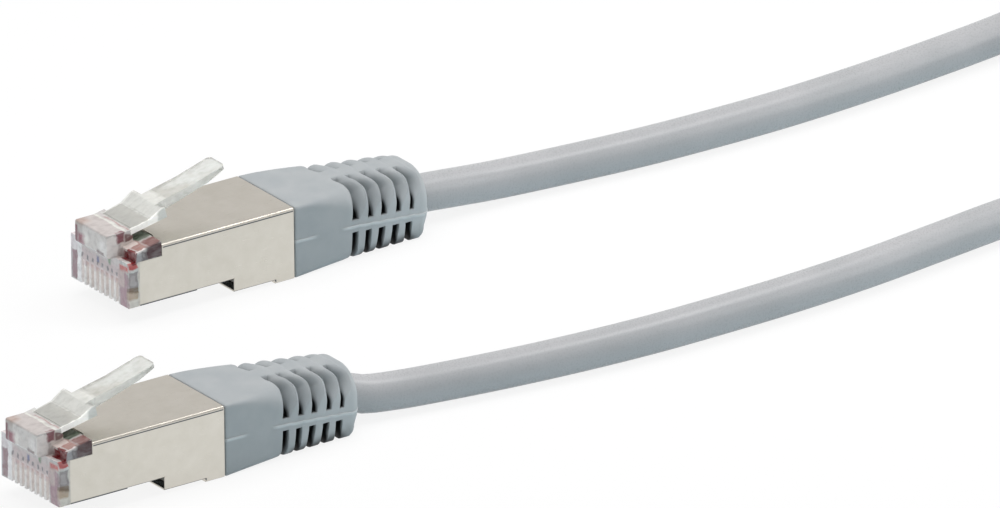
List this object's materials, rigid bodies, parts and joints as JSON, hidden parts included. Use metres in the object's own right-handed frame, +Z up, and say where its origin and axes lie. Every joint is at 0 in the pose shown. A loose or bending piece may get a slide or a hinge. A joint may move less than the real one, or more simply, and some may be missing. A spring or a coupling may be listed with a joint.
{
  "type": "shielded ethernet patch cable",
  "caption": "Round shielded data cord with a clear modular plug in a folded metal shield and a slotted strain relief boot on each end, for joining network equipment.",
  "frame": {"origin": "on the surface that the cable lies on, under the middle of the box round the two plugs", "axes": "+X from the plugs' contact faces back to the cord, +Y from plug b to plug a, +Z up, latches up"},
  "size_m": [0.2388, 0.0646, 0.0146],
  "materials": {
    "clear_plastic": "clear polished polycarbonate",
    "red_plastic": "glossy",
    "gold_contacts": "gold plated, polished",
    "shield_metal": "nickel plated sheet, satin, with fine rolling lines",
    "braid_metal": "tinned braid and foil",
    "jacket": "satin, faintly uneven",
    "boot_plastic": "soft moulded, fine texture",
    "wire_orange": "smooth",
    "wire_green": "smooth",
    "wire_blue": "smooth",
    "wire_brown": "smooth"
  },
  "bodies": {
    "cable": {"housing_a": "clear_plastic", "load_bar_a": "red_plastic", "contacts_a": "gold_contacts", "shield_a": "shield_metal", "braid_a": "braid_metal", "cable_end_a": "jacket", "boot_a": "boot_plastic", "orange_pair_a": "wire_orange", "green_pair_a": "wire_green", "blue_pair_a": "wire_blue", "brown_pair_a": "wire_brown", "housing_b": "clear_plastic", "load_bar_b": "red_plastic", "contacts_b": "gold_contacts", "shield_b": "shield_metal", "braid_b": "braid_metal", "cable_end_b": "jacket", "boot_b": "boot_plastic", "orange_pair_b": "wire_orange", "green_pair_b": "wire_green", "blue_pair_b": "wire_blue", "brown_pair_b": "wire_brown", "cord_a": "jacket", "coil": "jacket", "cord_b": "jacket"},
    "latch_a": {"latch_a": "clear_plastic"},
    "latch_b": {"latch_b": "clear_plastic"}
  },
  "joints": [
    {"name": "latch_a_press", "type": "hinge", "parent": "cable", "child": "latch_a", "pos_m": [0.0014, 0.02205, 0.01015], "axis": [0, 1, 0], "range_deg": [0, 16], "stiffness_Nm_per_rad": 0.04},
    {"name": "latch_b_press", "type": "hinge", "parent": "cable", "child": "latch_b", "pos_m": [-0.0384, -0.02205, 0.01015], "axis": [0, 1, 0], "range_deg": [0, 16], "stiffness_Nm_per_rad": 0.04}
  ]
}
